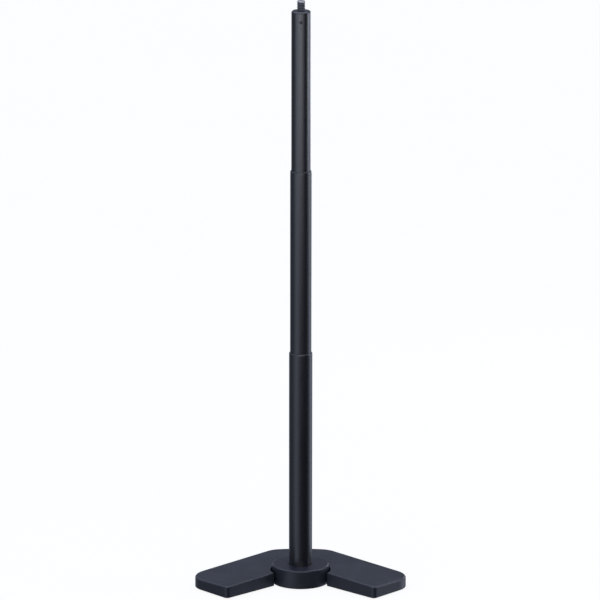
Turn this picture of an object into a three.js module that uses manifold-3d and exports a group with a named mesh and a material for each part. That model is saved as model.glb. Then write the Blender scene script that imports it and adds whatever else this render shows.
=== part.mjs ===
// Telescopic table stand: a boomerang base with a round hub, a pole of three nested tubes
// and a threaded stud on top. Millimetres, +Z up. The origin is on the pole's axis, on the
// surface that the stand rests on. The legs point towards -Y.

import * as THREE from 'three';
import { mergeVertices } from 'three/addons/utils/BufferGeometryUtils.js';
import Module from 'manifold-3d';

const wasm = await Module();
wasm.setup();

// ---- driving dimensions -------------------------------------------------------------

const LEG_ANGLE = THREE.MathUtils.degToRad(42.6); // each leg's direction, forward of the X axis
const INNER_EDGE = 4.1; // the legs' inner edges, from the pole's axis
const OUTER_EDGE = 53.0; // the legs' outer edges, from the pole's axis
const LEG_REACH = 74.9; // the legs' end faces, from the pole's axis
const BACK_EDGE = 51; // the straight back edge, behind the pole's axis
const BACK_RADIUS = 14;
const OUTER_RADIUS = 18;
const TIP_RADIUS = 3.2;

const COVER_HEIGHT = 12.2; // top of the cover on the middle line
const COVER_FALL = 0.044; // how much the top falls for each mm to the side
const COVER_WALL = 2.4;
const COVER_ROOF = 2.2;
const SKIRT_LIFT = 0.25; // the lower edge of the cover and the hub, above the table

const PAD_THICKNESS = 1;
const PLATE_TOP = 6; // upper face of the steel base plate

const HUB_RADIUS = 22.6;
const HUB_TOP = 15;
const HUB_CHAMFER = 0.8;
const NOTCH_RADIUS = 23.3; // the round back and the straight sides of the notch around the hub
const NOSE_LEAN = THREE.MathUtils.degToRad(21.8); // the sides lean in at the notch's mouth
const NOSE_EDGE = 24.2; // the leaning sides, from the pole's axis
const NOSE_RADIUS = 1.1;
const TONGUE_RADIUS = 18;
const TONGUE_HALF_WIDTH = 15;
const SEAT_FLOOR = 7.6; // the tube stands on this floor inside the hub

const TUBE_WALL = 0.5;
const LIP_HEIGHT = 2.4; // the thickened mouth of a tube
const ROLL_HEIGHT = 1.2; // the rounding of a tube's mouth
const SLIDE_GAP = 0.1; // radial clearance of a sliding or turning fit
const LOWER_RADIUS = 9.2;
const MIDDLE_RADIUS = 8.4;
const UPPER_RADIUS = 7.55;
const LOWER_MOUTH = 188.4;
const MIDDLE_MOUTH = 334.8;
const HEAD_TOP = 461.6;
const HEAD_FLANGE = 460; // the head plug's flange sits on the tube's end here
const HEAD_CHAMFER = 1;
const HEAD_DEPTH = 16; // how far the head plug goes into the tube
const STUD_TOP = 469.4;
const STUD_RADIUS = 3.175; // 1/4 inch screw thread
const STUD_DEPTH = 14; // how far the stud goes into the head plug
const SET_SCREW_HEIGHT = 453.4;
const SET_SCREW_RADIUS = 1;

const ROUND = 48; // sides of the tubes
const PLUG = 32; // sides of the plugs and sleeves
const SMALL = 16; // sides of screws and washers

// ---- materials ------------------------------------------------------------------------

const finish = (color, roughness, metalness) => (
  () => new THREE.MeshStandardMaterial({ color, roughness, metalness })
);
const moulded = finish(0x24262c, 0.5, 0);
const lacquered = finish(0x1d1f25, 0.35, 0.2);
const zincPlated = finish(0xb9bcc0, 0.3, 1);
const blackSteel = finish(0x303238, 0.4, 1);
const rubber = finish(0x17181a, 0.9, 0);
const acetal = finish(0xdedbd0, 0.45, 0);

// ---- helpers --------------------------------------------------------------------------

const stand = new THREE.Group();

function add(name, geometry, material) {
  const mesh = new THREE.Mesh(geometry, material);
  mesh.name = name;
  stand.add(mesh);
  return mesh;
}

function toSolid(geometry) {
  const plain = geometry.clone();
  plain.deleteAttribute('normal');
  plain.deleteAttribute('uv');
  const merged = mergeVertices(plain, 1e-5);
  return new wasm.Manifold(new wasm.Mesh({
    numProp: 3,
    vertProperties: merged.attributes.position.array,
    triVerts: new Uint32Array(merged.index.array),
  }));
}

function toGeometry(solid) {
  const mesh = solid.getMesh();
  const geometry = new THREE.BufferGeometry();
  geometry.setAttribute('position', new THREE.BufferAttribute(mesh.vertProperties, 3));
  geometry.setIndex(new THREE.BufferAttribute(mesh.triVerts, 1));
  return geometry;
}

// A solid of revolution about Z, from [radius, height] pairs that run from the axis or a
// bore's wall, outwards at the bottom, up, and back.
function turned(profile, sides = ROUND, closed = false) {
  const points = profile.map(([radius, height]) => new THREE.Vector2(radius, height));
  if (closed) {
    points.push(points[0].clone());
  }
  const geometry = new THREE.LatheGeometry(points, sides);
  return geometry.rotateX(Math.PI / 2);
}

function rod(radius, bottom, top, sides = SMALL) {
  return turned([[0, bottom], [radius, bottom], [radius, top], [0, top]], sides);
}

function slab(shape, bottom, top) {
  const geometry = new THREE.ExtrudeGeometry(shape, {
    depth: top - bottom, bevelEnabled: false, curveSegments: 1,
  });
  return geometry.translate(0, 0, bottom);
}

function arc(x, y, radius, from, to, steps) {
  return Array.from({ length: steps + 1 }, (_, i) => {
    const angle = from + ((to - from) * i) / steps;
    return new THREE.Vector2(x + radius * Math.cos(angle), y + radius * Math.sin(angle));
  });
}

// The rounded form of a corner between two straight edges.
function roundedCorner(before, corner, after, radius, steps) {
  const back = before.clone().sub(corner).normalize();
  const on = after.clone().sub(corner).normalize();
  const half = Math.acos(back.dot(on)) / 2;
  const bisector = back.clone().add(on).normalize();
  const centre = corner.clone().add(bisector.multiplyScalar(radius / Math.sin(half)));
  const start = corner.clone().add(back.multiplyScalar(radius / Math.tan(half))).sub(centre);
  const end = corner.clone().add(on.multiplyScalar(radius / Math.tan(half))).sub(centre);
  let sweep = end.angle() - start.angle();
  if (sweep > Math.PI) sweep -= 2 * Math.PI;
  if (sweep < -Math.PI) sweep += 2 * Math.PI;
  return arc(centre.x, centre.y, radius, start.angle(), start.angle() + sweep, steps);
}

// ---- base -----------------------------------------------------------------------------

const along = new THREE.Vector2(Math.cos(LEG_ANGLE), -Math.sin(LEG_ANGLE));
const across = new THREE.Vector2(Math.sin(LEG_ANGLE), Math.cos(LEG_ANGLE));

const leaning = new THREE.Vector2(Math.cos(NOSE_LEAN), -Math.sin(NOSE_LEAN));
const sideways = new THREE.Vector2(1, 0);
const backwards = new THREE.Vector2(0, 1);

// A point of the right leg, from its distances across and along the leg.
function legPoint(out, reach) {
  return across.clone().multiplyScalar(out).add(along.clone().multiplyScalar(reach));
}

// Where two straight edges meet, each given by its normal and its distance from the axis.
function meet(a, fromA, b, fromB) {
  const turn = a.cross(b);
  return new THREE.Vector2((fromA * b.y - fromB * a.y) / turn, (fromB * a.x - fromA * b.x) / turn);
}

// The boomerang with its round-backed notch for the hub, shrunk by inset on every side.
// The right half runs from the notch's back to the back edge, and the left half mirrors it.
function boomerang(inset) {
  const inner = INNER_EDGE + inset;
  const outer = OUTER_EDGE - inset;
  const reach = LEG_REACH - inset;
  const notch = NOTCH_RADIUS + inset;
  const nose = NOSE_EDGE + inset;
  const back = BACK_EDGE - inset;
  const bend = meet(sideways, notch, leaning, nose);
  const mouth = meet(leaning, nose, across, inner);
  const tip = legPoint(inner, reach);
  const shoulder = legPoint(outer, reach);
  const rear = meet(across, outer, backwards, back);
  const half = [
    ...arc(0, 0, notch, Math.PI / 2, 0, 12),
    bend,
    ...roundedCorner(bend, mouth, tip, NOSE_RADIUS, 4),
    ...roundedCorner(mouth, tip, shoulder, Math.max(TIP_RADIUS - inset, 0.6), 5),
    ...roundedCorner(tip, shoulder, rear, OUTER_RADIUS - inset, 9),
    ...roundedCorner(shoulder, rear, new THREE.Vector2(0, back), BACK_RADIUS - inset, 5),
  ];
  const mirrored = half.slice(1).reverse().map((p) => new THREE.Vector2(-p.x, p.y));
  return new THREE.Shape([...half, ...mirrored]);
}

// The tongue of the base plate that carries the hub, grown by margin on every side.
function tongue(margin) {
  const radius = TONGUE_RADIUS + margin;
  const width = TONGUE_HALF_WIDTH + margin;
  const turn = Math.acos(width / radius);
  const rear = NOTCH_RADIUS + COVER_WALL + 3;
  return new THREE.Shape([
    new THREE.Vector2(-width, rear),
    ...arc(0, 0, radius, Math.PI - turn, 2 * Math.PI + turn, 28),
    new THREE.Vector2(width, rear),
  ]);
}

// Everything above the cover's sloping top, lowered by drop, as one wedge for each side.
function aboveRoof(drop) {
  const reach = 100;
  const crest = COVER_HEIGHT - drop;
  const wedge = (side) => {
    const shape = new THREE.Shape([
      new THREE.Vector2(0, crest),
      new THREE.Vector2(reach * side, crest - COVER_FALL * reach),
      new THREE.Vector2(reach * side, crest + 10),
      new THREE.Vector2(0, crest + 10),
    ]);
    const geometry = new THREE.ExtrudeGeometry(shape, { depth: 2 * reach, bevelEnabled: false });
    return toSolid(geometry.translate(0, 0, -reach).rotateX(Math.PI / 2));
  };
  return wedge(1).add(wedge(-1));
}

// Centres of the screws that hold the cover on its plate: two along each leg, two behind.
function coverScrewPlaces() {
  const middle = (INNER_EDGE + OUTER_EDGE) / 2;
  const right = [legPoint(middle, 60), legPoint(middle, 27), new THREE.Vector2(15, 40)];
  const left = right.map((p) => new THREE.Vector2(-p.x, p.y));
  return [...right, ...left];
}

function hubScrewPlaces() {
  return arc(0, 0, 13, Math.PI / 2, (Math.PI / 2) + (4 * Math.PI) / 3, 2);
}

const coverScrew = { head: 3, headHeight: 1.6, shank: 1.5, tip: 8.1 };
const hubScrew = { head: 3, headHeight: 1.6, shank: 1.5, tip: 12.6 };
const screwBottom = PAD_THICKNESS + 0.2;

function screwBody({ head, headHeight, shank, tip }, place) {
  const seat = screwBottom + headHeight;
  const profile = [
    [0, screwBottom], [head, screwBottom], [head, seat], [shank, seat], [shank, tip], [0, tip],
  ];
  return turned(profile, SMALL).translate(place.x, place.y, 0);
}

function counterbore({ head, headHeight, shank, tip }, place) {
  const seat = screwBottom + headHeight;
  const bore = head + 0.3;
  const hole = shank + 0.2;
  const end = tip + 0.4;
  const profile = [[0, 0], [bore, 0], [bore, seat], [hole, seat], [hole, end], [0, end]];
  return toSolid(turned(profile, SMALL).translate(place.x, place.y, 0));
}

const poleBolt = { head: 5, headHeight: 3, shank: 2.9, washer: 6, washerTop: 5, tip: 16 };

function baseCover() {
  let cover = toSolid(slab(boomerang(0), SKIRT_LIFT, COVER_HEIGHT + 1)).subtract(aboveRoof(0));
  const hollow = toSolid(slab(boomerang(COVER_WALL), 0, COVER_HEIGHT + 1));
  cover = cover.subtract(hollow.subtract(aboveRoof(COVER_ROOF)));
  const roofGap = toSolid(slab(boomerang(COVER_WALL / 2), 0, COVER_HEIGHT + 1)).subtract(aboveRoof(1));
  for (const place of coverScrewPlaces()) {
    const boss = toSolid(rod(3.6, PLATE_TOP, COVER_HEIGHT).translate(place.x, place.y, 0));
    cover = cover.add(boss.intersect(roofGap));
    cover = cover.subtract(counterbore(coverScrew, place));
  }
  const tonguePath = toSolid(slab(tongue(0.4), -1, PLATE_TOP + 0.3));
  return toGeometry(cover.subtract(tonguePath));
}

function basePlate() {
  let plate = toSolid(slab(boomerang(COVER_WALL + 0.3), PAD_THICKNESS, PLATE_TOP));
  plate = plate.add(toSolid(slab(tongue(0), PAD_THICKNESS, PLATE_TOP)));
  for (const place of coverScrewPlaces()) {
    plate = plate.subtract(counterbore(coverScrew, place));
  }
  for (const place of hubScrewPlaces()) {
    plate = plate.subtract(counterbore(hubScrew, place));
  }
  const pocket = toSolid(rod(poleBolt.washer + 0.3, 0, poleBolt.washerTop));
  const hole = toSolid(rod(poleBolt.shank + 0.2, 0, PLATE_TOP + 1));
  return toGeometry(plate.subtract(pocket).subtract(hole));
}

function footPad() {
  const pad = toSolid(slab(boomerang(COVER_WALL + 0.8), 0, PAD_THICKNESS));
  return toGeometry(pad.add(toSolid(slab(tongue(-0.5), 0, PAD_THICKNESS))));
}

function hub() {
  const body = turned([
    [0, SKIRT_LIFT], [HUB_RADIUS, SKIRT_LIFT], [HUB_RADIUS, HUB_TOP - HUB_CHAMFER],
    [HUB_RADIUS - HUB_CHAMFER, HUB_TOP], [0, HUB_TOP],
  ], 64);
  let solid = toSolid(body).subtract(toSolid(slab(tongue(0.3), 0, PLATE_TOP)));
  solid = solid.subtract(toSolid(rod(LOWER_RADIUS + 0.15, SEAT_FLOOR, HUB_TOP + 1, ROUND)));
  solid = solid.subtract(toSolid(rod(poleBolt.shank + 0.2, 0, HUB_TOP)));
  for (const place of hubScrewPlaces()) {
    solid = solid.subtract(counterbore(hubScrew, place));
  }
  return toGeometry(solid);
}

// ---- pole -----------------------------------------------------------------------------

// A tube whose mouth is rolled in until the next tube just passes through it.
function rolledTube(radius, bottom, mouth, innerRadius) {
  const bore = radius - TUBE_WALL;
  const lip = innerRadius + SLIDE_GAP;
  const land = lip + 0.15; // the flat ring on top
  const shoulder = mouth - ROLL_HEIGHT;
  const rolled = Array.from({ length: 5 }, (_, i) => {
    const angle = (Math.PI / 8) * i;
    return [land + (radius - land) * Math.cos(angle), shoulder + (mouth - shoulder) * Math.sin(angle)];
  });
  const profile = [
    [bore, bottom], [radius, bottom], ...rolled,
    [lip, mouth - 0.2], [lip, mouth - LIP_HEIGHT + 0.6], [bore, mouth - LIP_HEIGHT],
  ];
  return turned(profile, ROUND, true);
}

// The split sleeve that grips the bore of the tube around it and turns on the stem inside it.
function frictionSleeve(outer, inner, bottom, top) {
  const slot = 0.9;
  const open = (radius) => Math.asin(slot / radius);
  const rim = arc(0, 0, outer, open(outer), 2 * Math.PI - open(outer), PLUG - 2);
  const bore = arc(0, 0, inner, 2 * Math.PI - open(inner), open(inner), PLUG - 2);
  return slab(new THREE.Shape([...rim, ...bore]), bottom, top);
}

// The foot of a moving tube, counted down from the mouth that it comes out of.
function footLevels(mouth, sleeveLength, screwHead) {
  const tube = mouth - 0.9;
  const flange = mouth - LIP_HEIGHT;
  const sleeveTop = flange - 0.2;
  const sleeveBottom = sleeveTop - sleeveLength;
  const stem = sleeveBottom - 0.2;
  const washer = stem - 1.2;
  return { tube, flange, sleeveTop, sleeveBottom, stem, washer, screw: washer - screwHead };
}

function footPlug(levels, tubeRadius, stemRadius, spigotLength, holeRadius) {
  const spigot = tubeRadius - TUBE_WALL - SLIDE_GAP;
  const top = levels.tube + spigotLength;
  const holeTop = top - 4;
  return turned([
    [0, holeTop], [holeRadius, holeTop], [holeRadius, levels.stem], [stemRadius, levels.stem],
    [stemRadius, levels.flange], [tubeRadius - 0.1, levels.flange], [tubeRadius - 0.1, levels.tube],
    [spigot, levels.tube], [spigot, top - 0.6], [spigot - 0.6, top], [0, top],
  ], PLUG);
}

function washerRing(outer, inner, bottom, top) {
  return turned([[inner, bottom], [outer, bottom], [outer, top], [inner, top]], SMALL, true);
}

function panScrew(head, shank, bottom, seat, tip) {
  return turned([
    [0, bottom], [head - 0.5, bottom], [head, bottom + 0.5], [head, seat], [shank, seat],
    [shank, tip - 0.5], [shank - 0.5, tip], [0, tip],
  ], SMALL);
}

// The foot assembly of one moving tube: sleeve, plug, washer and screw.
function addFoot(prefix, levels, sizes) {
  const { tubeRadius, boreRadius, stemRadius, spigotLength, head, shank } = sizes;
  const sleeveRadius = boreRadius - SLIDE_GAP;
  const sleeveBore = stemRadius + SLIDE_GAP;
  const sleeve = frictionSleeve(sleeveRadius, sleeveBore, levels.sleeveBottom, levels.sleeveTop);
  add(`${prefix}_friction_sleeve`, sleeve, acetal());
  const plug = footPlug(levels, tubeRadius, stemRadius, spigotLength, shank + 0.2);
  add(`${prefix}_plug`, plug, blackSteel());
  const ring = washerRing(stemRadius + 1.7, shank + 0.3, levels.washer, levels.stem);
  add(`${prefix}_washer`, ring, zincPlated());
  const screw = panScrew(head, shank, levels.screw, levels.washer, levels.tube + spigotLength - 5);
  add(`${prefix}_plug_screw`, screw, zincPlated());
}

function lowerPlug() {
  const spigot = LOWER_RADIUS - TUBE_WALL - SLIDE_GAP;
  const top = 18;
  const hole = poleBolt.shank + 0.2;
  const holeTop = poleBolt.tip + 0.6;
  return turned([
    [0, holeTop], [hole, holeTop], [hole, SEAT_FLOOR], [spigot, SEAT_FLOOR],
    [spigot, top - 0.6], [spigot - 0.6, top], [0, top],
  ], PLUG);
}

// ---- head -----------------------------------------------------------------------------

function setScrewHole(radius) {
  const hole = rod(radius, STUD_RADIUS - 0.2, UPPER_RADIUS + 1).rotateX(Math.PI / 2);
  return toSolid(hole.translate(0, 0, SET_SCREW_HEIGHT));
}

function upperTube(bottom) {
  const bore = UPPER_RADIUS - TUBE_WALL;
  const tube = turned([
    [bore, bottom], [UPPER_RADIUS, bottom], [UPPER_RADIUS, HEAD_FLANGE], [bore, HEAD_FLANGE],
  ], ROUND, true);
  return toGeometry(toSolid(tube).subtract(setScrewHole(SET_SCREW_RADIUS + 0.2)));
}

function headPlug() {
  const spigot = UPPER_RADIUS - TUBE_WALL - SLIDE_GAP;
  const hole = STUD_RADIUS + 0.15;
  const bottom = HEAD_FLANGE - HEAD_DEPTH;
  const body = turned([
    [hole, bottom], [spigot, bottom], [spigot, HEAD_FLANGE], [UPPER_RADIUS, HEAD_FLANGE],
    [UPPER_RADIUS, HEAD_TOP - HEAD_CHAMFER], [UPPER_RADIUS - HEAD_CHAMFER, HEAD_TOP], [hole, HEAD_TOP],
  ], ROUND, true);
  return toGeometry(toSolid(body).subtract(setScrewHole(SET_SCREW_RADIUS + 0.15)));
}

function threadStud() {
  const bottom = HEAD_FLANGE - STUD_DEPTH;
  return turned([
    [0, bottom], [STUD_RADIUS - 0.6, bottom], [STUD_RADIUS, bottom + 0.6],
    [STUD_RADIUS, STUD_TOP - 0.5], [STUD_RADIUS - 0.5, STUD_TOP], [0, STUD_TOP],
  ], PLUG);
}

function setScrew() {
  const bevel = SET_SCREW_RADIUS - 0.3;
  const inner = STUD_RADIUS + 0.3;
  const outer = UPPER_RADIUS - 0.35;
  const socket = { radius: 0.5, floor: outer - 1.2 };
  const profile = [
    [0, inner], [bevel, inner], [SET_SCREW_RADIUS, inner + 0.3], [SET_SCREW_RADIUS, outer - 0.2],
    [bevel + 0.1, outer], [socket.radius, outer], [socket.radius, socket.floor], [0, socket.floor],
  ];
  return turned(profile, SMALL).rotateX(Math.PI / 2).translate(0, 0, SET_SCREW_HEIGHT);
}

// ---- assembly -------------------------------------------------------------------------

add('base_cover', baseCover(), moulded());
add('base_plate', basePlate(), blackSteel());
add('foot_pad', footPad(), rubber());
add('hub', hub(), moulded());
coverScrewPlaces().forEach((place, i) => {
  add(`cover_screw_${i + 1}`, screwBody(coverScrew, place), zincPlated());
});
hubScrewPlaces().forEach((place, i) => {
  add(`hub_screw_${i + 1}`, screwBody(hubScrew, place), zincPlated());
});

const { head, headHeight, shank, washer, washerTop, tip } = poleBolt;
const boltSeat = screwBottom + headHeight;
add('pole_bolt', panScrew(head, shank, screwBottom, boltSeat, tip), zincPlated());
add('pole_washer', washerRing(washer, shank + 0.2, boltSeat, washerTop), zincPlated());
add('lower_plug', lowerPlug(), blackSteel());
add('lower_tube', rolledTube(LOWER_RADIUS, SEAT_FLOOR, LOWER_MOUTH, MIDDLE_RADIUS), lacquered());

const middle = footLevels(LOWER_MOUTH, 18, 2.6);
addFoot('middle', middle, {
  tubeRadius: MIDDLE_RADIUS,
  boreRadius: LOWER_RADIUS - TUBE_WALL,
  stemRadius: 6,
  spigotLength: 10,
  head: 4,
  shank: 2,
});
add('middle_tube', rolledTube(MIDDLE_RADIUS, middle.tube, MIDDLE_MOUTH, UPPER_RADIUS), lacquered());

const upper = footLevels(MIDDLE_MOUTH, 16, 2.6);
addFoot('upper', upper, {
  tubeRadius: UPPER_RADIUS,
  boreRadius: MIDDLE_RADIUS - TUBE_WALL,
  stemRadius: 5,
  spigotLength: 10,
  head: 3.5,
  shank: 1.7,
});
add('upper_tube', upperTube(upper.tube), lacquered());
add('head_plug', headPlug(), lacquered());
add('thread_stud', threadStud(), blackSteel());
add('set_screw', setScrew(), blackSteel());

export default stand;
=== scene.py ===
"""Telescopic table stand: the looks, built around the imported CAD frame.

Metres, +Z up, origin on the pole's axis on the floor. Legs point towards -Y.
Azimuths are seen from above: 0 is towards the camera (-Y) and 90 is to its right (+X).
"""

from math import acos, atan2, cos, hypot, pi, radians, sin, sqrt, tan

import bmesh
import bpy
from mathutils import Matrix, Vector


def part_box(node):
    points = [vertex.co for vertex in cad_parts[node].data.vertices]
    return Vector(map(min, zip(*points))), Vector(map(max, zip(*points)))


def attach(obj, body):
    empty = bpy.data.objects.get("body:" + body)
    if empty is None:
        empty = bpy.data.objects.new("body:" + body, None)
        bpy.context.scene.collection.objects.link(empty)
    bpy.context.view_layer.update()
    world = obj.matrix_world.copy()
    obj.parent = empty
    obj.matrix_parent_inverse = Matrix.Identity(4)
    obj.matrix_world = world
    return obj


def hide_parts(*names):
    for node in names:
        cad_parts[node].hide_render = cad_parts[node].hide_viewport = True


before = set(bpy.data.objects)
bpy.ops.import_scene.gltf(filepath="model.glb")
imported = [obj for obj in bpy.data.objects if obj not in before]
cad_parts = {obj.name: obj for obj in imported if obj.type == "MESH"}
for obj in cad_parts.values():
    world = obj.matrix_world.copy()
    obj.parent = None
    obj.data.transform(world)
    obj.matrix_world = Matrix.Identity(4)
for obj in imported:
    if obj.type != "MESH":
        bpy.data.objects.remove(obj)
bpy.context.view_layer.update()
MM = 0.001

# ---- camera ---------------------------------------------------------------------------

CAMERA_PLACE = (-0.0006, -3.8448, 1.1928)
CAMERA_TILT = radians(75.951)
CAMERA_ROLL = radians(0.06)
LENS_MM = 302.96
SENSOR_MM = 36


def make_camera():
    data = bpy.data.cameras.new("camera")
    data.sensor_width = SENSOR_MM
    data.lens = LENS_MM
    camera = bpy.data.objects.new("camera", data)
    camera.location = CAMERA_PLACE
    turn = Matrix.Rotation(CAMERA_TILT, 3, "X") @ Matrix.Rotation(CAMERA_ROLL, 3, "Z")
    camera.rotation_euler = turn.to_euler()
    bpy.context.scene.collection.objects.link(camera)
    bpy.context.scene.camera = camera


make_camera()

# ---- sizes ----------------------------------------------------------------------------

# The base's outline: distances of its straight edges from the pole's axis, and its corners.
LEG_ANGLE = radians(42.6)
INNER_EDGE = 4.1 * MM
OUTER_EDGE = 53.0 * MM
LEG_REACH = 74.87 * MM
BACK_RADIUS = 14 * MM
OUTER_RADIUS = 18 * MM
TIP_RADIUS = 3.2 * MM
LEAST_TIP_RADIUS = 0.6 * MM
NOTCH_RADIUS = 23.3 * MM
NOSE_LEAN = radians(21.8)
NOSE_EDGE = 24.2 * MM
NOSE_RADIUS = 1.1 * MM
TONGUE_RADIUS = 18 * MM
TONGUE_HALF_WIDTH = 15 * MM
TONGUE_OVERRUN = 3 * MM  # how far a cut for the tongue goes past the notch's wall

COVER_LOW, COVER_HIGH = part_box("base_cover")
BACK_EDGE = COVER_HIGH.y
COVER_FALL = 0.044  # how fast the roof falls away from the middle
RIDGE_ROUNDING = 2.5 * MM  # half the width of the soft ridge in the middle
COVER_WALL = 2.4 * MM
COVER_ROOF = 2.2 * MM
EDGE_ROUNDING = 1.3 * MM  # along the top edges of the cover and the hub
UNDER_FLOOR = -1.0 * MM  # where cuts from below start
PAD_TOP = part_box("foot_pad")[1].z
PLATE_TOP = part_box("base_plate")[1].z

HUB_LOW, HUB_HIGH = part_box("hub")
LOWER_LOW, LOWER_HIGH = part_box("lower_tube")
MIDDLE_LOW, MIDDLE_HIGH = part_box("middle_tube")
UPPER_LOW, UPPER_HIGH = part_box("upper_tube")
HEAD_LOW, HEAD_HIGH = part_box("head_plug")
STUD_LOW, STUD_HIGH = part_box("thread_stud")
SCREW_LOW, SCREW_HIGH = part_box("set_screw")
TUBE_WALL = 0.5 * MM
LIP_HEIGHT = 2.4 * MM  # depth of the narrowed part inside a tube's mouth
ROLL_HEIGHT = 1.2 * MM  # height of the rounding outside it
SLIDE_GAP = 0.1 * MM
THREAD_PITCH = 1.27 * MM
TIP_HIGHLIGHT_LENGTH = 1.2 * MM  # the stud's top length, coloured as bare steel lightened into a painted highlight of its top face

SEAM_ROUNDING = 0.12 * MM  # both sides of the seam under the head
HEAD_CHAMFER = 1.0 * MM
SCREW_CENTRE = (SCREW_LOW.z + SCREW_HIGH.z) / 2
SOCKET_RADIUS = 0.56 * MM
SOCKET_DEPTH = 1.2 * MM

TURNS = 128  # sides of a turned piece
FINE_TURNS = 48  # sides of a small one
SHARP = radians(38)  # edges that turn further than this stay crisp
SUPPORT = 0.35  # straight run beside a fillet, as a share of its radius
WELD = 1e-7  # points nearer than this are one

# ---- mesh helpers ---------------------------------------------------------------------


def piece(name, bm, material, body, slot, *nodes):
    """Makes the shown piece from bm, and lets it stand for CAD nodes."""
    bmesh.ops.recalc_face_normals(bm, faces=bm.faces)
    mesh = bpy.data.meshes.new(name)
    bm.to_mesh(mesh)
    bm.free()
    mesh.materials.append(material)
    obj = bpy.data.objects.new(name, mesh)
    bpy.context.scene.collection.objects.link(obj)
    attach(obj, body)
    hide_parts(*nodes)
    return obj


def shade(obj):
    """Smooth faces, with crisp edges only where the surface turns sharply."""
    bm = bmesh.new()
    bm.from_mesh(obj.data)
    for face in bm.faces:
        face.smooth = True
    for edge in bm.edges:
        edge.smooth = len(edge.link_faces) == 2 and edge.calc_face_angle(pi) < SHARP
    bm.to_mesh(obj.data)
    bm.free()


def cut(obj, *cutters):
    """Takes the cutters' meshes away from obj's mesh."""
    for number, bm in enumerate(cutters):
        bmesh.ops.recalc_face_normals(bm, faces=bm.faces)
        mesh = bpy.data.meshes.new(f"cutter_{number}")
        bm.to_mesh(mesh)
        bm.free()
        tool = bpy.data.objects.new(f"cutter_{number}", mesh)
        bpy.context.scene.collection.objects.link(tool)
        modifier = obj.modifiers.new("cut", "BOOLEAN")
        modifier.operation = "DIFFERENCE"
        modifier.solver = "EXACT"
        modifier.object = tool
        depsgraph = bpy.context.evaluated_depsgraph_get()
        result = bpy.data.meshes.new_from_object(obj.evaluated_get(depsgraph))
        obj.modifiers.clear()
        whole = obj.data
        obj.data = result
        bpy.data.meshes.remove(whole)
        result.name = obj.name
        bpy.data.objects.remove(tool)
        bpy.data.meshes.remove(mesh)


def unit(x, y):
    length = hypot(x, y)
    return x / length, y / length


def filleted(corners, segments=6, closed=True):
    """Rounds a polyline's corners. Each corner is (x, y, radius), and each fillet gets a
    short straight run before and after it, which keeps long faces evenly shaded."""
    points = []
    count = len(corners)
    for i, (x, y, radius) in enumerate(corners):
        if radius == 0 or (not closed and i in (0, count - 1)):
            points.append((x, y))
            continue
        before, after = corners[i - 1], corners[(i + 1) % count]
        bx, by = unit(before[0] - x, before[1] - y)
        ax, ay = unit(after[0] - x, after[1] - y)
        half = acos(max(-1, min(1, bx * ax + by * ay))) / 2
        run = radius / tan(half)
        mx, my = unit(bx + ax, by + ay)
        cx, cy = x + mx * radius / sin(half), y + my * radius / sin(half)
        start = atan2(y + by * run - cy, x + bx * run - cx)
        turn = atan2(y + ay * run - cy, x + ax * run - cx) - start
        turn -= 2 * pi * round(turn / (2 * pi))
        support = SUPPORT * radius
        points.append((x + bx * (run + support), y + by * (run + support)))
        for step in range(segments + 1):
            angle = start + turn * step / segments
            points.append((cx + radius * cos(angle), cy + radius * sin(angle)))
        points.append((x + ax * (run + support), y + ay * (run + support)))
    return points


def turned(profile, sides=TURNS):
    """A body of revolution about Z from a closed ring of (radius, height) points."""
    bm = bmesh.new()
    rings = []
    for radius, height in profile:
        if radius < WELD:
            rings.append([bm.verts.new((0, 0, height))])
            continue
        angles = [2 * pi * k / sides for k in range(sides)]
        rings.append([bm.verts.new((radius * sin(a), -radius * cos(a), height)) for a in angles])
    for a, b in zip(rings, rings[1:] + rings[:1]):
        if len(a) == 1 and len(b) == 1:
            continue
        for k in range(sides):
            n = (k + 1) % sides
            if len(a) == 1:
                bm.faces.new((a[0], b[n], b[k]))
            elif len(b) == 1:
                bm.faces.new((a[k], a[n], b[0]))
            else:
                bm.faces.new((a[k], a[n], b[n], b[k]))
    return bm


def rod(radius, bottom, top, sides=FINE_TURNS):
    """A plain round bar standing on Z."""
    return turned([(0, bottom), (radius, bottom), (radius, top), (0, top)], sides)


def prism(points, bottom, top):
    """The outline points, drawn from bottom to top."""
    bm = bmesh.new()
    low = [bm.verts.new((x, y, bottom)) for x, y in points]
    high = [bm.verts.new((x, y, top)) for x, y in points]
    bm.faces.new(low)
    bm.faces.new(high)
    for i, vert in enumerate(low):
        n = (i + 1) % len(low)
        bm.faces.new((vert, low[n], high[n], high[i]))
    return bm


# ---- outline of the base --------------------------------------------------------------

ALONG = (cos(LEG_ANGLE), -sin(LEG_ANGLE))
ACROSS = (sin(LEG_ANGLE), cos(LEG_ANGLE))
LEANING = (cos(NOSE_LEAN), -sin(NOSE_LEAN))
SIDEWAYS = (1, 0)
BACKWARDS = (0, 1)


def meet(a, from_a, b, from_b):
    """Where two straight edges meet, each given by its normal and its distance."""
    turn = a[0] * b[1] - a[1] * b[0]
    return (from_a * b[1] - from_b * a[1]) / turn, (from_b * a[0] - from_a * b[0]) / turn


def arc(radius, start, end, steps):
    angles = [start + (end - start) * i / steps for i in range(steps + 1)]
    return [(radius * cos(angle), radius * sin(angle)) for angle in angles]


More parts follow.
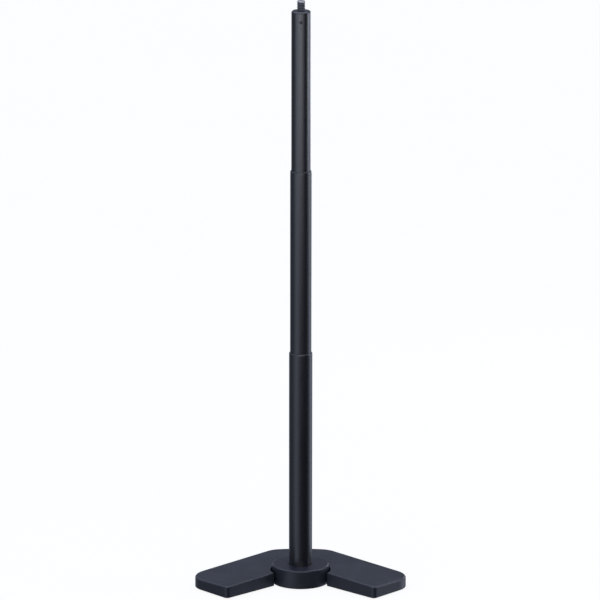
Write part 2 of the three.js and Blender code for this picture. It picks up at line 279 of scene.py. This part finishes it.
def boomerang(inset, tongue=None):
    """The base's outline, shrunk by inset, clockwise from the middle of the notch. With
    tongue, the outline takes in the hub's tongue, shrunk by that much."""
    notch = NOTCH_RADIUS + inset
    nose = NOSE_EDGE + inset
    inner = INNER_EDGE + inset
    outer = OUTER_EDGE - inset
    reach = LEG_REACH - inset
    back = BACK_EDGE - inset
    bend = meet(SIDEWAYS, notch, LEANING, nose)
    mouth = meet(LEANING, nose, ACROSS, inner)
    tip = meet(ACROSS, inner, ALONG, reach)
    shoulder = meet(ACROSS, outer, ALONG, reach)
    rear = meet(ACROSS, outer, BACKWARDS, back)
    if tongue is None:
        half = arc(notch, pi / 2, 0, 24)
    else:
        radius, width = TONGUE_RADIUS - tongue, TONGUE_HALF_WIDTH - tongue
        side = acos(width / radius)
        half = arc(radius, -pi / 2, side, 32)
        half += arc(notch, acos(width / notch), 0, 16)
    half.append(bend)
    corners = [
        (*bend, 0),
        (*mouth, NOSE_RADIUS),
        (*tip, max(TIP_RADIUS - inset, LEAST_TIP_RADIUS)),
        (*shoulder, OUTER_RADIUS - inset),
        (*rear, BACK_RADIUS - inset),
        (0, back, 0),
    ]
    half += filleted(corners, 12, closed=False)[1:-1]
    return half + [(-x, y) for x, y in reversed(half[1:])]


def tongue_outline(margin):
    """The outline that cuts room for the hub's tongue, margin wider than the tongue."""
    radius, width = TONGUE_RADIUS + margin, TONGUE_HALF_WIDTH + margin
    side = acos(width / radius)
    rear = NOTCH_RADIUS + COVER_WALL + TONGUE_OVERRUN
    return [(-width, rear)] + arc(radius, pi - side, 2 * pi + side, 48) + [(width, rear)]


def swept(levels, tongue=None):
    """A solid whose rings are the base's outline at each (inset, height) of levels."""
    bm = bmesh.new()
    first = levels[0][0]
    rings = []
    for inset, height in levels:
        held = None if tongue is None else tongue + inset - first
        rings.append([bm.verts.new((x, y, height)) for x, y in boomerang(inset, held)])
    bm.faces.new(rings[0])
    bm.faces.new(rings[-1])
    for low, high in zip(rings, rings[1:]):
        for i, vert in enumerate(low):
            n = (i + 1) % len(low)
            bm.faces.new((vert, low[n], high[n], high[i]))
    return bm


def roof_drop(x):
    """How far the cover's top has fallen at x, with a rounded ridge in the middle."""
    return COVER_FALL * sqrt(x * x + RIDGE_ROUNDING * RIDGE_ROUNDING)


# ---- materials ------------------------------------------------------------------------


class Nodes:
    """A short way to build a material's node tree."""

    def __init__(self, name):
        self.material = bpy.data.materials.new(name)
        self.material.use_nodes = True
        self.tree = self.material.node_tree
        self.shader = self.tree.nodes["Principled BSDF"]
        self.place = self.new("ShaderNodeTexCoord").outputs["Object"]

    def new(self, kind, **values):
        """A node, with values for its settings or for its input sockets."""
        node = self.tree.nodes.new(kind)
        for key, value in values.items():
            if hasattr(node, key):
                setattr(node, key, value)
            else:
                node.inputs[key.replace("_", " ")].default_value = value
        return node

    def link(self, output, target):
        self.tree.links.new(output, target)

    def noise(self, size, detail=2.0, stretch=(1, 1, 1), roughness=0.5):
        """Noise with features of about size metres, drawn out along stretch."""
        mapping = self.new("ShaderNodeMapping")
        mapping.inputs["Scale"].default_value = [1 / s for s in stretch]
        self.link(self.place, mapping.inputs["Vector"])
        noise = self.new("ShaderNodeTexNoise", Scale=1 / size, Detail=detail, Roughness=roughness)
        self.link(mapping.outputs["Vector"], noise.inputs["Vector"])
        return noise.outputs["Fac"]

    def ranged(self, value, low, high, start=0.3, end=0.7):
        """value's stretch from start to end, spread from low to high."""
        node = self.new("ShaderNodeMapRange")
        sockets = ("From Min", "From Max", "To Min", "To Max")
        for key, number in zip(sockets, (start, end, low, high)):
            node.inputs[key].default_value = number
        self.link(value, node.inputs["Value"])
        return node.outputs["Result"]

    def blend(self, factor, first, second):
        """From first to second by factor. Each is a colour or another node's output."""
        node = self.new("ShaderNodeMix", data_type="RGBA")
        self.link(factor, node.inputs["Factor"])
        for key, colour in (("A", first), ("B", second)):
            socket = [s for s in node.inputs if s.name == key and s.type == "RGBA"][0]
            if isinstance(colour, tuple):
                socket.default_value = (*colour, 1)
            else:
                self.link(colour, socket)
        return [s for s in node.outputs if s.type == "RGBA"][0]

    def bump(self, height, depth, strength, after=None):
        """Relief of depth metres, laid over the relief after."""
        node = self.new("ShaderNodeBump", Strength=strength, Distance=depth)
        self.link(height, node.inputs["Height"])
        if after is not None:
            self.link(after, node.inputs["Normal"])
        return node.outputs["Normal"]

    def finish(self, colour, roughness, normal):
        """Ties the three to the shader and gives the material."""
        self.link(colour, self.shader.inputs["Base Color"])
        self.link(roughness, self.shader.inputs["Roughness"])
        self.link(normal, self.shader.inputs["Normal"])
        return self.material


def moulded_plastic(name, dark, light, rough, gloss=0.5):
    """Spark-eroded satin plastic: a fine pebble, slow tone changes, slight polish."""
    n = Nodes(name)
    n.shader.inputs["IOR"].default_value = 1.46
    n.shader.inputs["Specular IOR Level"].default_value = gloss
    patches = n.noise(14 * MM, 3)
    pebble = n.noise(0.32 * MM, 2)
    colour = n.blend(n.ranged(patches, 0, 1), dark, light)
    polish = n.ranged(patches, rough - 0.035, rough + 0.035)
    grain = n.bump(pebble, 0.02 * MM, 0.35)
    flow = n.bump(n.noise(5 * MM, 1), 0.05 * MM, 0.15, grain)
    return n.finish(colour, polish, flow)


def satin_lacquer(name, dark, light, rough):
    """Baked satin lacquer on tube: orange peel, and faint scuffs drawn out lengthwise."""
    n = Nodes(name)
    n.shader.inputs["IOR"].default_value = 1.5
    tone = n.noise(20 * MM, 3, (1, 1, 4))
    scuffs = n.noise(0.5 * MM, 3, (1, 1, 40))
    colour = n.blend(n.ranged(tone, 0, 1), dark, light)
    polish = n.ranged(scuffs, rough - 0.03, rough + 0.04)
    peel = n.bump(n.noise(0.9 * MM, 2), 0.012 * MM, 0.3)
    return n.finish(colour, polish, peel)


def marked_steel_with_tip_highlight(name, dark, light, rough, tip_highlight=None, tip_highlight_from=0.0):
    """Blackened or plated steel with fine brushed marks. The optional tip colour covers the end
    above the given height: bare steel, made light enough to paint in the highlight of the stud's
    top face."""
    n = Nodes(name)
    n.shader.inputs["Metallic"].default_value = 1
    marks = n.noise(0.25 * MM, 4)
    colour = n.blend(n.ranged(marks, 0, 1), dark, light)
    if tip_highlight is not None:
        split = n.new("ShaderNodeSeparateXYZ")
        n.link(n.place, split.inputs["Vector"])
        ragged = n.new("ShaderNodeMath", operation="MULTIPLY_ADD")
        n.link(marks, ragged.inputs[0])
        ragged.inputs[1].default_value = 0.5 * MM
        n.link(split.outputs["Z"], ragged.inputs[2])
        # painted highlight: the tip colour, bare steel lightened to stand for the stud's bright
        # top face
        tip_highlight_mask = n.ranged(ragged.outputs["Value"], 0, 1, tip_highlight_from, tip_highlight_from + 0.5 * MM)
        colour = n.blend(tip_highlight_mask, colour, tip_highlight)
    polish = n.ranged(n.noise(1.2 * MM, 3), rough - 0.06, rough + 0.06)
    return n.finish(colour, polish, n.bump(marks, 0.01 * MM, 0.3))


def grained_rubber(name, dark, light, rough):
    """Matt rubber with a fine open grain."""
    n = Nodes(name)
    n.shader.inputs["Specular IOR Level"].default_value = 0.3
    cells = n.new("ShaderNodeTexVoronoi", Scale=1 / (0.9 * MM))
    n.link(n.place, cells.inputs["Vector"])
    colour = n.blend(n.ranged(n.noise(9 * MM, 3), 0, 1), dark, light)
    polish = n.ranged(n.noise(2 * MM, 2), rough - 0.05, rough + 0.05)
    return n.finish(colour, polish, n.bump(cells.outputs["Distance"], 0.12 * MM, 0.5))


COVER_FINISH = moulded_plastic(
    "cover_plastic", (0.006, 0.0068, 0.01), (0.009, 0.0098, 0.014), 0.38, gloss=0.36)
HUB_FINISH = moulded_plastic(
    "hub_plastic", (0.0075, 0.008, 0.0115), (0.0095, 0.0105, 0.0145), 0.35, gloss=0.28)
TUBE_FINISH = satin_lacquer("tube_lacquer", (0.0025, 0.0028, 0.004), (0.004, 0.0045, 0.006), 0.31)
# the stud's tip colour is bare steel lightened into a painted highlight of its top face
STUD_FINISH = marked_steel_with_tip_highlight(
    "stud_steel", (0.08, 0.08, 0.083), (0.12, 0.12, 0.124), 0.36,
    tip_highlight=(0.3, 0.285, 0.27), tip_highlight_from=STUD_HIGH.z - TIP_HIGHLIGHT_LENGTH)
BLACK_STEEL = marked_steel_with_tip_highlight("black_steel", (0.03, 0.031, 0.034), (0.05, 0.052, 0.057), 0.42)
ZINC = marked_steel_with_tip_highlight("zinc_steel", (0.5, 0.51, 0.53), (0.62, 0.63, 0.65), 0.32)
RUBBER = grained_rubber("pad_rubber", (0.012, 0.012, 0.013), (0.02, 0.02, 0.021), 0.85)
ACETAL = moulded_plastic("sleeve_plastic", (0.68, 0.66, 0.6), (0.74, 0.72, 0.66), 0.42)

# ---- base -----------------------------------------------------------------------------


def base_cover():
    """A moulded shell with a softly rounded top edge and a top that falls to both sides."""
    top = COVER_HIGH.z
    skirt = COVER_LOW.z
    skirt_inner, skirt_outer = 0.25 * MM, 0.35 * MM
    # the wall's section, clockwise from the roof's underside, down inside and up outside
    section = filleted([
        (COVER_WALL, top - COVER_ROOF, 0),
        (COVER_WALL, skirt, skirt_inner),
        (0, skirt, skirt_outer),
        (0, top, EDGE_ROUNDING),
        (COVER_WALL, top, 0),
    ], 6, closed=False)
    bm = swept(section[:-1])
    # strips across the roof, finer towards the ridge, so that it can bend there
    strips = 40
    for i in range(-strips, strips + 1):
        x = COVER_HIGH.x * (i / strips) ** 3
        geometry = bm.verts[:] + bm.edges[:] + bm.faces[:]
        bmesh.ops.bisect_plane(
            bm, geom=geometry, plane_co=(x, 0, 0), plane_no=(1, 0, 0), dist=WELD)
    for vert in bm.verts:
        if vert.co.z > (top + skirt) / 2:
            vert.co.z -= roof_drop(vert.co.x)
    cover = piece("cover", bm, COVER_FINISH, "base", "cover_plastic", "base_cover")
    room_beside, room_above = 0.4 * MM, 0.3 * MM
    tunnel = tongue_outline(room_beside)
    cut(cover, prism(tunnel, UNDER_FLOOR, PLATE_TOP + room_above))
    shade(cover)


def hub():
    """The boss that the pole stands in."""
    radius, top, bottom = HUB_HIGH.x, HUB_HIGH.z, HUB_LOW.z
    room = 0.15 * MM
    bore = LOWER_HIGH.x + room
    foot_rounding, mouth_rounding = 0.3 * MM, 0.35 * MM
    profile = filleted([
        (0, bottom, 0),
        (radius, bottom, foot_rounding),
        (radius, top, EDGE_ROUNDING),
        (bore, top, mouth_rounding),
        (bore, LOWER_LOW.z, 0),
        (0, LOWER_LOW.z, 0),
    ])
    boss = piece("hub_boss", turned(profile), HUB_FINISH, "base", "hub_plastic", "hub")
    room_beside = 0.3 * MM
    cut(boss, prism(tongue_outline(room_beside), UNDER_FLOOR, PLATE_TOP))
    shade(boss)


def foot_mat():
    """The rubber mat under the base and its tongue, with softened edges."""
    inset = COVER_WALL + 0.8 * MM
    tongue_inset = 0.5 * MM
    edge = 0.25 * MM
    inner = inset + 2 * MM
    section = filleted([
        (inner, 0, 0),
        (inset, 0, edge),
        (inset, PAD_TOP, edge),
        (inner, PAD_TOP, 0),
    ], 4, closed=False)[1:-1]
    bm = swept(section, tongue=tongue_inset + section[0][0] - inset)
    mat = piece("foot_mat", bm, RUBBER, "base", "pad_rubber", "foot_pad")
    shade(mat)


# ---- pole -----------------------------------------------------------------------------


def pole_tube(name, node, low, high, inner, body):
    """A tube whose mouth is rolled in until the next tube just passes through it."""
    radius, bottom, mouth = high.x, low.z, high.z
    bore = radius - TUBE_WALL
    lip = inner + SLIDE_GAP
    land = lip + 0.15 * MM  # where the roll meets the flat of the mouth
    lead_in, rim, flare, support = 0.04 * MM, 0.2 * MM, 0.6 * MM, 0.3 * MM
    shoulder = mouth - ROLL_HEIGHT
    steps = 12
    profile = [(bore, bottom), (radius, bottom), (radius, shoulder - flare)]
    for i in range(steps + 1):
        angle = pi / 2 * i / steps
        out, up = (radius - land) * cos(angle), ROLL_HEIGHT * sin(angle)
        profile.append((land + out, shoulder + up))
    profile += [
        (lip + lead_in, mouth - lead_in),
        (lip, mouth - rim),
        (lip, mouth - LIP_HEIGHT + flare),
        (bore, mouth - LIP_HEIGHT),
        (bore, mouth - LIP_HEIGHT - support),
    ]
    tube = piece(name, turned(profile), TUBE_FINISH, body, "tube_lacquer", node)
    shade(tube)


def at_screw(bm, quarter_turns):
    """Turns bm from Z to the set screw's axis, and lifts it to the screw's height."""
    turn = Matrix.Rotation(quarter_turns * pi / 2, 3, "X")
    bmesh.ops.rotate(bm, verts=bm.verts, cent=(0, 0, 0), matrix=turn)
    bmesh.ops.translate(bm, verts=bm.verts, vec=(0, 0, SCREW_CENTRE))
    return bm


def screw_hole(radius):
    """The hole for the set screw, from outside the head to the stud."""
    return at_screw(rod(radius, -HEAD_HIGH.x - MM, -STUD_HIGH.x), -1)


def top_section():
    """The plain upper tube and its chamfered head, both with the set screw's hole."""
    radius = UPPER_HIGH.x
    bore = radius - TUBE_WALL
    around_screw = 3 * MM
    profile = [
        (bore, UPPER_LOW.z),
        (radius, UPPER_LOW.z),
        (radius, SCREW_CENTRE - around_screw),
        (radius, SCREW_CENTRE + around_screw),
    ]
    profile += filleted([
        (radius, SCREW_CENTRE, 0),
        (radius, UPPER_HIGH.z, SEAM_ROUNDING),
        (bore, UPPER_HIGH.z, 0),
    ], 3, closed=False)[1:]
    tube = piece(
        "pole_upper", turned(profile), TUBE_FINISH, "upper_section", "tube_lacquer", "upper_tube")
    tube_room, head_room, stud_room = 0.2 * MM, 0.15 * MM, 0.05 * MM
    cut(tube, screw_hole(SCREW_HIGH.x + tube_room))
    shade(tube)

    spigot = bore - SLIDE_GAP
    hole = STUD_HIGH.x + stud_room
    edge, hole_edge = 0.3 * MM, 0.2 * MM
    bm = turned(filleted([
        (hole, HEAD_LOW.z, 0),
        (spigot, HEAD_LOW.z, edge),
        (spigot, UPPER_HIGH.z, 0),
        (radius, UPPER_HIGH.z, SEAM_ROUNDING),
        (radius, HEAD_HIGH.z - HEAD_CHAMFER, edge),
        (radius - HEAD_CHAMFER, HEAD_HIGH.z, edge),
        (hole, HEAD_HIGH.z, hole_edge),
    ], 4))
    head = piece("head_cap", bm, TUBE_FINISH, "upper_section", "tube_lacquer", "head_plug")
    cut(head, screw_hole(SCREW_HIGH.x + head_room))
    shade(head)


def stud():
    """A quarter-inch screw thread, cut as a true helix and chamfered at its tip."""
    crest = STUD_HIGH.x
    depth = 0.45 * THREAD_PITCH
    chamfer = 0.5 * MM
    core = MM
    top = STUD_HIGH.z
    length_in_head = 4 * MM
    bottom = HEAD_HIGH.z - length_in_head
    around = 64
    section = [0.9, 1, 1, 1, 0.9, 0.5, 0.1, 0, 0.1, 0.5]  # one pitch: 1 is crest, 0 is root
    per_turn = len(section)
    rows = int((top - bottom) / THREAD_PITCH + 3) * per_turn
    bm = bmesh.new()
    grid = []
    for row in range(rows + 1):
        ring = []
        for k in range(around + 1):
            turn = k / around
            z = bottom - THREAD_PITCH + (row / per_turn + turn) * THREAD_PITCH
            radius = crest - depth * (1 - section[row % per_turn])
            radius = min(radius, crest - max(0, z - (top - chamfer)))
            radius = max(radius, core)
            angle = 2 * pi * turn
            ring.append(bm.verts.new((radius * sin(angle), -radius * cos(angle), z)))
        grid.append(ring)
    for low, high in zip(grid, grid[1:]):
        for k in range(around):
            bm.faces.new((low[k], low[k + 1], high[k + 1], high[k]))
    bmesh.ops.remove_doubles(bm, verts=bm.verts, dist=WELD)
    for level, side in ((bottom, -1), (top, 1)):
        geometry = bm.verts[:] + bm.edges[:] + bm.faces[:]
        bmesh.ops.bisect_plane(
            bm, geom=geometry, plane_co=(0, 0, level), plane_no=(0, 0, side), dist=WELD,
            clear_outer=True)
        rim = [edge for edge in bm.edges if edge.is_boundary
               and all(abs(vert.co.z - level) < 10 * WELD for vert in edge.verts)]
        bmesh.ops.contextual_create(bm, geom=rim)
    thread = piece("stud_thread", bm, STUD_FINISH, "upper_section", "stud_steel", "thread_stud")
    shade(thread)


def grub_screw():
    """The set screw: a small cup-ended screw with a hexagon socket."""
    radius = SCREW_HIGH.x
    outer, inner = -SCREW_LOW.y, -SCREW_HIGH.y
    outer_edge, inner_edge = 0.18 * MM, 0.25 * MM
    profile = filleted([
        (0, inner, 0),
        (radius, inner, inner_edge),
        (radius, outer, outer_edge),
        (0, outer, 0),
    ], 4)
    bm = at_screw(turned(profile, FINE_TURNS), 1)
    screw = piece("grub_screw", bm, BLACK_STEEL, "upper_section", "black_steel", "set_screw")
    socket = rod(SOCKET_RADIUS, outer - SOCKET_DEPTH, outer + MM, sides=6)
    cut(screw, at_screw(socket, 1))
    shade(screw)


base_cover()
hub()
foot_mat()
pole_tube("pole_lower", "lower_tube", LOWER_LOW, LOWER_HIGH, MIDDLE_HIGH.x, "base")
pole_tube("pole_middle", "middle_tube", MIDDLE_LOW, MIDDLE_HIGH, UPPER_HIGH.x, "middle_section")
top_section()
stud()
grub_screw()

# ---- finishes of the CAD nodes that stay ----------------------------------------------

for name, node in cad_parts.items():
    if "screw" in name or "bolt" in name or "washer" in name:
        finish = ZINC
    elif "sleeve" in name:
        finish = ACETAL
    else:
        finish = BLACK_STEEL
    for slot in node.material_slots:
        slot.material = finish

# ---- floor and light ------------------------------------------------------------------

FLOOR_HALF = 12
FLOOR_DROP = -0.5 * MM  # keeps the floor clear of the rubber mat's underside
FLOOR_GLOW = 0.9
FLOOR_TONES = ((0.055, 0.055, 0.055), (0.06, 0.06, 0.06))

# Brightness of the studio's walls, every 22.5 degrees of azimuth from -180 to 180, just
# below the horizon and above it. Both blend between WALL_BLEND's elevations, in degrees,
# and the ceiling starts between CEILING_BLEND's.
WALLS_LOW = (
    0.1, 0.7, 0.15, 0.2, 0.24, 0.7, 1.3, 0.75, 0.05, 0, 0, 0, 0.4, 1.7, 0.9, 0.1, 0.1)
WALLS_HIGH = (
    0.19, 0.65, 0.3, 1.0, 0.8, 0, 0, 0, 0, 0, 0, 0, 0.6, 0.8, 0.2, 0.35, 0.19)
WALL_BLEND = (-5, 15)
CEILING = 2.6
CEILING_BLEND = (36, 52)
WALL_TINT = (0.87, 0.97, 1.23)
BRIGHTEST = 10  # a colour ramp holds brightness as a share of this

# Soft panels in a ring around the pole: azimuth in degrees and power in watts.
PANELS = ((-55, 0.5), (-30, 0.9), (-10, 1.3), (10, 1.3), (30, 0.5), (95, 1.8), (150, 0.9))
PANEL_DISTANCE = 0.9
PANEL_HEIGHT = 0.34
PANEL_SIZE = (0.35, 0.34)
PANEL_TINT = (0.95, 0.98, 1.1)


def floor():
    """A plain white floor. It casts no shadow and shows in no reflection, so the studio's
    walls alone shape the highlights."""
    bm = bmesh.new()
    half = FLOOR_HALF
    corners = [(-half, -half), (half, -half), (half, half), (-half, half)]
    bm.faces.new([bm.verts.new((x, y, 0)) for x, y in corners])
    mesh = bpy.data.meshes.new("floor")
    bm.to_mesh(mesh)
    bm.free()
    n = Nodes("floor")
    n.shader.inputs["Specular IOR Level"].default_value = 0
    n.shader.inputs["Emission Color"].default_value = (1, 1, 1, 1)
    n.shader.inputs["Emission Strength"].default_value = FLOOR_GLOW
    tone = n.blend(n.noise(0.4, 2), *FLOOR_TONES)
    n.link(tone, n.shader.inputs["Base Color"])
    mesh.materials.append(n.material)
    obj = bpy.data.objects.new("floor", mesh)
    bpy.context.scene.collection.objects.link(obj)
    obj.location.z = FLOOR_DROP
    obj.visible_glossy = False
    obj.visible_shadow = False


def studio():
    """Soft studio walls and a ceiling, dark and bright in turn, around the object. The
    camera itself sees plain white beyond the floor's edge."""
    world = bpy.data.worlds.new("studio")
    bpy.context.scene.world = world
    world.use_nodes = True
    tree = world.node_tree

    def node(kind, *links, **settings):
        made = tree.nodes.new(kind)
        for key, value in settings.items():
            setattr(made, key, value)
        for socket, value in zip(made.inputs, links):
            if isinstance(value, bpy.types.NodeSocket):
                tree.links.new(value, socket)
            elif value is not None:
                socket.default_value = value
        return made.outputs

    def tinted(level):
        return (*(level * part / BRIGHTEST for part in WALL_TINT), 1)

    def walls(levels, azimuth):
        made = tree.nodes.new("ShaderNodeValToRGB")
        ramp = made.color_ramp
        ramp.interpolation = "EASE"
        for i, level in enumerate(levels):
            place = i / (len(levels) - 1)
            if 0 < i < len(levels) - 1:
                element = ramp.elements.new(place)
            else:
                element = ramp.elements[0 if i == 0 else -1]
            element.color = tinted(level)
        tree.links.new(azimuth, made.inputs["Fac"])
        return made.outputs["Color"]

    def rise(height, start, end):
        made = tree.nodes.new("ShaderNodeMapRange")
        made.interpolation_type = "SMOOTHSTEP"
        made.inputs["From Min"].default_value = sin(radians(start))
        made.inputs["From Max"].default_value = sin(radians(end))
        tree.links.new(height, made.inputs["Value"])
        return made.outputs["Result"]

    view = node("ShaderNodeTexCoord")["Generated"]
    split = node("ShaderNodeSeparateXYZ", view)
    forward = node("ShaderNodeMath", split["Y"], -1.0, operation="MULTIPLY")[0]
    angle = node("ShaderNodeMath", split["X"], forward, operation="ARCTAN2")[0]
    # 0 to 1 for azimuths from -180 to 180 degrees
    azimuth = node("ShaderNodeMath", angle, 1 / (2 * pi), 0.5, operation="MULTIPLY_ADD")[0]
    low = walls(WALLS_LOW, azimuth)
    high = walls(WALLS_HIGH, azimuth)
    sides = node("ShaderNodeMixRGB", rise(split["Z"], *WALL_BLEND), low, high)[0]
    dome = node("ShaderNodeMixRGB", rise(split["Z"], *CEILING_BLEND), sides, tinted(CEILING))[0]
    lit = tree.nodes["Background"]
    lit.inputs["Strength"].default_value = BRIGHTEST
    tree.links.new(dome, lit.inputs["Color"])
    plain = node("ShaderNodeBackground", (1, 1, 1, 1), 1.0)[0]
    seen = node("ShaderNodeLightPath")["Is Camera Ray"]
    shown = node("ShaderNodeMixShader", seen, lit.outputs[0], plain)[0]
    tree.links.new(shown, tree.nodes["World Output"].inputs["Surface"])


def panel(azimuth, power):
    """A soft light level with the middle of the tubes, which looks at the pole."""
    data = bpy.data.lights.new(f"panel_{azimuth}", "AREA")
    data.shape = "RECTANGLE"
    data.size, data.size_y = PANEL_SIZE
    data.energy = power
    data.color = PANEL_TINT
    light = bpy.data.objects.new(f"panel_{azimuth}", data)
    angle = radians(azimuth)
    place = Vector((PANEL_DISTANCE * sin(angle), -PANEL_DISTANCE * cos(angle), PANEL_HEIGHT))
    light.location = place
    towards_pole = Vector((0, 0, PANEL_HEIGHT)) - place
    light.rotation_euler = towards_pole.to_track_quat("-Z", "Y").to_euler()
    light.visible_camera = False
    bpy.context.scene.collection.objects.link(light)


floor()
studio()
for azimuth, power in PANELS:
    panel(azimuth, power)
bpy.context.scene.view_settings.view_transform = "Standard"
